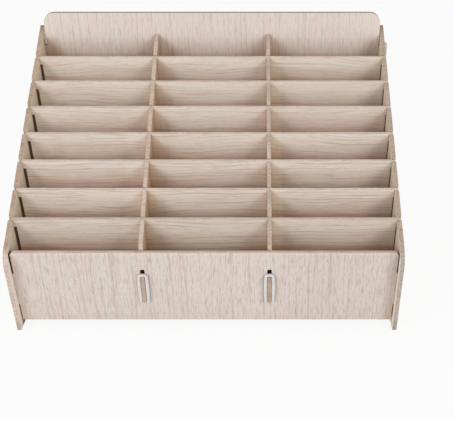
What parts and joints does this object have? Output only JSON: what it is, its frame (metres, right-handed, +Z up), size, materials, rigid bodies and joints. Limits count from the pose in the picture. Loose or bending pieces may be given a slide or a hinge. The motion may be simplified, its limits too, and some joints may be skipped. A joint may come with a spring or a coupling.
{
  "type": "phone storage box",
  "caption": "Stepped box of slotted wood-grain boards with rows of phone pockets that rise towards the back, held together by clips on hooked tabs.",
  "frame": {"origin": "on the table, below the middle of the box in width and depth", "axes": "X to the right along the rows, Y from the low front to the tall back, Z up"},
  "size_m": [0.336, 0.218, 0.212],
  "materials": {
    "side_laminate": "satin",
    "upright_laminate": "satin",
    "level_laminate": "satin",
    "inner_laminate": "satin",
    "clip_plastic": "frosted"
  },
  "bodies": {
    "box": {"left_side_panel": "side_laminate", "right_side_panel": "side_laminate", "front_panel": "upright_laminate", "back_panel": "upright_laminate", "floor_board": "inner_laminate", "left_divider": "inner_laminate", "right_divider": "inner_laminate"},
    "board_1": {"cross_board_1": "level_laminate"},
    "board_2": {"cross_board_2": "level_laminate"},
    "board_3": {"cross_board_3": "level_laminate"},
    "board_4": {"cross_board_4": "level_laminate"},
    "board_5": {"cross_board_5": "level_laminate"},
    "board_6": {"cross_board_6": "level_laminate"},
    "board_7": {"cross_board_7": "level_laminate"},
    "left_front_clip_body": {"left_front_clip": "clip_plastic"},
    "right_front_clip_body": {"right_front_clip": "clip_plastic"},
    "left_side_clip_body": {"left_side_clip": "clip_plastic"},
    "right_side_clip_body": {"right_side_clip": "clip_plastic"}
  },
  "joints": [
    {"name": "board_1_lift", "type": "slide", "parent": "box", "child": "board_1", "axis": [0, 0, 1], "range_m": [0, 0.11]},
    {"name": "board_2_lift", "type": "slide", "parent": "box", "child": "board_2", "axis": [0, 0, 1], "range_m": [0, 0.11]},
    {"name": "board_3_lift", "type": "slide", "parent": "box", "child": "board_3", "axis": [0, 0, 1], "range_m": [0, 0.11]},
    {"name": "board_4_lift", "type": "slide", "parent": "box", "child": "board_4", "axis": [0, 0, 1], "range_m": [0, 0.11]},
    {"name": "board_5_lift", "type": "slide", "parent": "box", "child": "board_5", "axis": [0, 0, 1], "range_m": [0, 0.11]},
    {"name": "board_6_lift", "type": "slide", "parent": "box", "child": "board_6", "axis": [0, 0, 1], "range_m": [0, 0.11]},
    {"name": "board_7_lift", "type": "slide", "parent": "box", "child": "board_7", "axis": [0, 0, 1], "range_m": [0, 0.11]},
    {"name": "left_front_clip_pull", "type": "slide", "parent": "box", "child": "left_front_clip_body", "axis": [0, 0, 1], "range_m": [0, 0.035]},
    {"name": "right_front_clip_pull", "type": "slide", "parent": "box", "child": "right_front_clip_body", "axis": [0, 0, 1], "range_m": [0, 0.035]},
    {"name": "left_side_clip_pull", "type": "slide", "parent": "box", "child": "left_side_clip_body", "axis": [0, 0, 1], "range_m": [0, 0.035]},
    {"name": "right_side_clip_pull", "type": "slide", "parent": "box", "child": "right_side_clip_body", "axis": [0, 0, 1], "range_m": [0, 0.035]}
  ]
}
